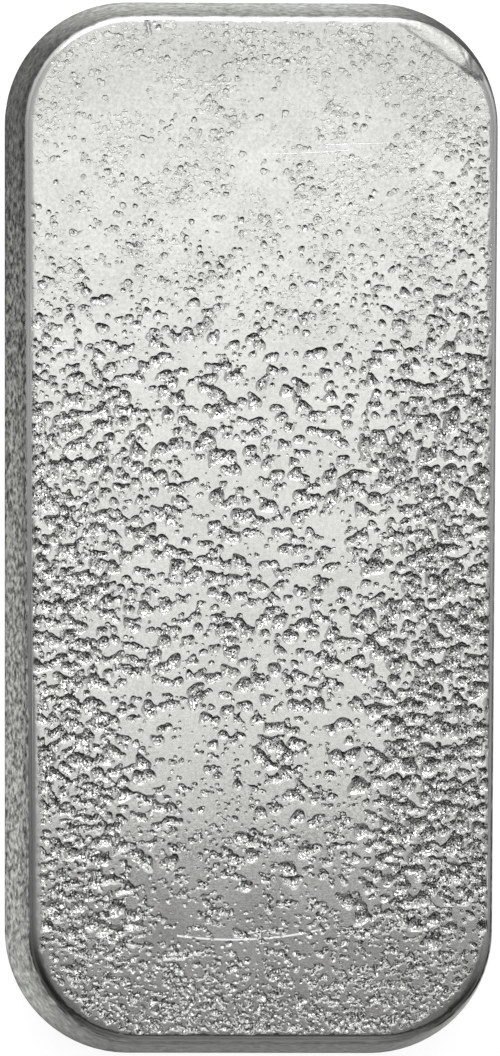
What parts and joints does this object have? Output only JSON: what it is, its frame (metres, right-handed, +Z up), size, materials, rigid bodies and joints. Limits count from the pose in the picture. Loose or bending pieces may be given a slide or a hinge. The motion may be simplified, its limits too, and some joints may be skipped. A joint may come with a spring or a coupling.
{
  "type": "cast metal ingot",
  "caption": "Solid cast silver ingot with rounded corners, drafted walls and a rounded shoulder round a pitted face, stored flat and stacked as raw stock.",
  "frame": {"origin": "centre of the bounding box at its base, on the pour face that the ingot lies on", "axes": "+Z up through the pitted face, +Y along the bar towards its head, +X across the bar"},
  "size_m": [0.0534, 0.1132, 0.0169],
  "materials": {
    "cast_silver": "satin"
  },
  "bodies": {
    "root": {"ingot": "cast_silver"}
  },
  "joints": []
}
